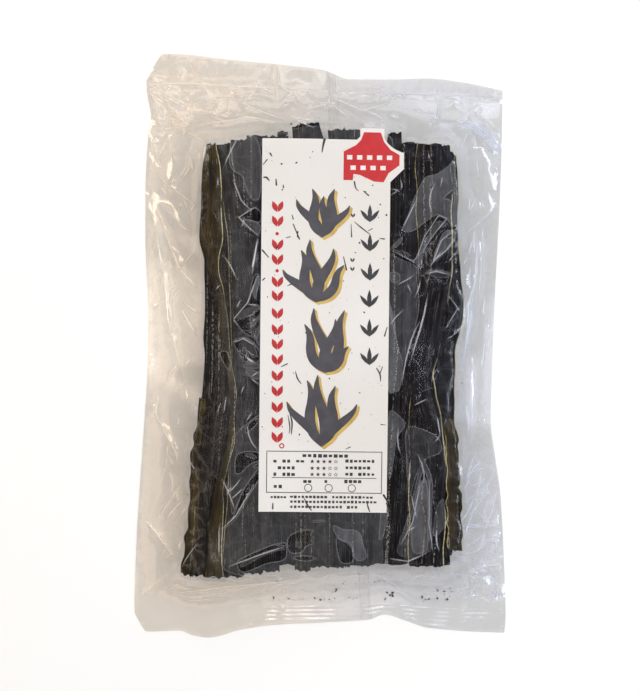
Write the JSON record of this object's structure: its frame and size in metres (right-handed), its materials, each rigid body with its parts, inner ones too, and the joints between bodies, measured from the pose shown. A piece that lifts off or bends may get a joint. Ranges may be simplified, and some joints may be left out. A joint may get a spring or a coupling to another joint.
{
  "type": "bag of dried kelp strips",
  "caption": "Clear sealed film bag holding a flat bundle of long dried kelp strips, with a tall paper label on its front and a ribbed seal at its foot.",
  "frame": {"origin": "centre of the bag's box, on the surface that the bag lies on", "axes": "+X across the bag, +Y from its foot seal to its head seal, +Z out of its labelled front"},
  "size_m": [0.2126, 0.3345, 0.0217],
  "materials": {
    "film": "clear glossy film, creased, over dark dried kelp",
    "paper": "coated paper with a slight sheen"
  },
  "bodies": {
    "root": {"bag": "film", "label": "paper"}
  },
  "joints": []
}
